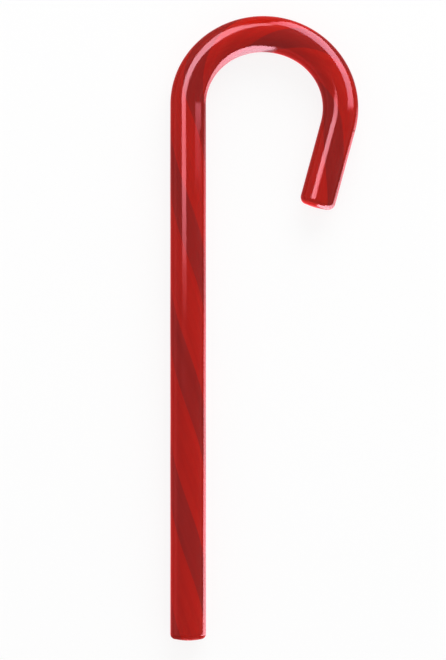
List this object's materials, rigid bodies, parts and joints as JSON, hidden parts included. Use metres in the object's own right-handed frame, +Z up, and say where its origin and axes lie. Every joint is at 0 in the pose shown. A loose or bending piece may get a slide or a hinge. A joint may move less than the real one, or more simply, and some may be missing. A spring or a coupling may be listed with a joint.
{
  "type": "candy cane",
  "caption": "Candy cane of glossy red boiled sugar with twisted darker red stripes: a straight round stick bent over into a crook with a short leaning tail, lying on its side.",
  "frame": {"origin": "under the centre of the cane's outline, on the surface that it lies on, at the height of the narrow flat along its underside", "axes": "+Y along the stem from its foot to the crook, +X from the stem across to the tail, +Z up through the side that shows"},
  "size_m": [0.0422, 0.1404, 0.0079],
  "materials": {
    "boiled_sugar": "glossy, twisted stripes of two reds"
  },
  "bodies": {
    "root": {"candy_cane": "boiled_sugar"}
  },
  "joints": []
}
